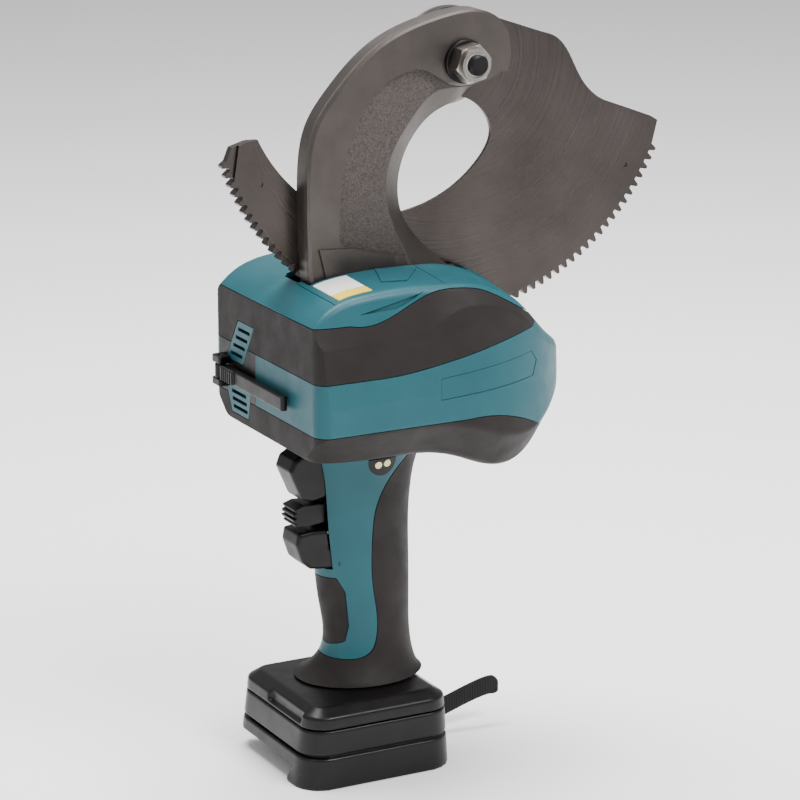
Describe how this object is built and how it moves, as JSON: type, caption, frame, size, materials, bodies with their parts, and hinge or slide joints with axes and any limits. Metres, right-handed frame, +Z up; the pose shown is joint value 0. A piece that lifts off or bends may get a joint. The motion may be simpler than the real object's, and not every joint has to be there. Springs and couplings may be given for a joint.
{
  "type": "battery cable cutter",
  "caption": "Hand-held battery cable cutter: a geared shear blade closes against a fixed hook arm above a motor body and pistol handle with a slide-on battery foot",
  "frame": {"origin": "Floor level under the middle of the handle, in the opening the battery slides into.", "axes": "+Z is up along the handle, +X points to the back of the tool (strap side), +Y to the guide plate side of the blade; the hook arm is on the -Y side."},
  "size_m": [0.238, 0.117, 0.3675],
  "materials": {
    "teal_plastic": "satin",
    "dark_rubber": "matte",
    "black_plastic": "matte",
    "arm_steel": "satin",
    "blade_steel": "satin",
    "dark_steel": "satin",
    "bright_steel": "bright",
    "nylon": "satin",
    "label_white": "gloss",
    "lens": "clear",
    "brass_contacts": "satin",
    "board": "satin",
    "webbing": "woven"
  },
  "bodies": {
    "tool": {"back_grip": "dark_rubber", "battery_rails": "black_plastic", "blank_label": "label_white", "contact_blades": "brass_contacts", "controller_board": "board", "finger_pad": "dark_rubber", "fixed_arm": "arm_steel", "foot_lower": "black_plastic", "foot_upper": "black_plastic", "gear_case_far": "dark_steel", "gear_case_near": "dark_steel", "gear_head": "bright_steel", "grille_frame": "black_plastic", "grip_far": "teal_plastic", "grip_near": "teal_plastic", "guide_plate": "dark_steel", "housing_far": "teal_plastic", "housing_near": "teal_plastic", "hub_washer": "dark_steel", "jaw_screws": "bright_steel", "jaw_spacers": "bright_steel", "lamp_lenses": "lens", "lamp_window": "black_plastic", "lever_bracket": "black_plastic", "lever_pin": "bright_steel", "light_pad": "black_plastic", "lock_nut": "bright_steel", "lower_bumper": "dark_rubber", "lower_grille": "black_plastic", "motor_can": "dark_steel", "motor_end_cap": "black_plastic", "name_panel": "teal_plastic", "nut_insert": "nylon", "nut_washer": "dark_steel", "pivot_bolt": "bright_steel", "pivot_bush": "brass_contacts", "shaft_bearings": "bright_steel", "switch_unit": "black_plastic", "terminal_block": "black_plastic", "top_cover": "teal_plastic", "trigger_pins": "bright_steel", "trigger_springs": "bright_steel", "upper_bumper": "dark_rubber", "upper_grille": "black_plastic", "wrist_strap": "webbing"},
    "blade": {"moving_blade": "blade_steel"},
    "drive": {"drive_pinion": "bright_steel", "reduction_gear": "bright_steel"},
    "motor_shaft": {"output_gear": "bright_steel", "output_shaft": "bright_steel"},
    "release_lever_body": {"release_lever": "black_plastic"},
    "close_trigger_body": {"close_trigger": "black_plastic"},
    "return_trigger_body": {"return_trigger": "black_plastic"},
    "lock_lever_body": {"lock_lever": "black_plastic"}
  },
  "joints": [
    {"name": "blade_swing", "type": "hinge", "parent": "tool", "child": "blade", "pos_m": [0.059, 0, 0.343], "axis": [0, 1, 0], "range_deg": [-58, 64]},
    {"name": "pinion_turn", "type": "hinge", "parent": "tool", "child": "drive", "pos_m": [0.04028, 0, 0.20456], "axis": [0, 1, 0], "range_deg": [-650, 600]},
    {"name": "motor_turn", "type": "hinge", "parent": "tool", "child": "motor_shaft", "pos_m": [0.00824, 0, 0.18606], "axis": [0, 1, 0], "range_deg": [-2500, 2760]},
    {"name": "release_lever_swing", "type": "hinge", "parent": "tool", "child": "release_lever_body", "pos_m": [-0.0439, 0.043, 0.19], "axis": [0, 0, -1], "range_deg": [0, 35]},
    {"name": "close_trigger_pull", "type": "hinge", "parent": "tool", "child": "close_trigger_body", "pos_m": [-0.0095, 0, 0.155], "axis": [0, -1, 0], "range_deg": [0, 7], "stiffness_Nm_per_rad": 0.4, "springref_deg": -2.86},
    {"name": "return_trigger_pull", "type": "hinge", "parent": "tool", "child": "return_trigger_body", "pos_m": [-0.006, 0, 0.101], "axis": [0, 1, 0], "range_deg": [0, 5], "stiffness_Nm_per_rad": 0.4, "springref_deg": -2.86},
    {"name": "lock_lever_push", "type": "slide", "parent": "tool", "child": "lock_lever_body", "axis": [0, 1, 0], "range_m": [0, 0.0024], "stiffness_N_per_m": 60}
  ],
  "couplings": [
    {"joint": "pinion_turn", "follows": "blade_swing", "ratio": -10},
    {"joint": "motor_turn", "follows": "blade_swing", "ratio": 42.857}
  ]
}
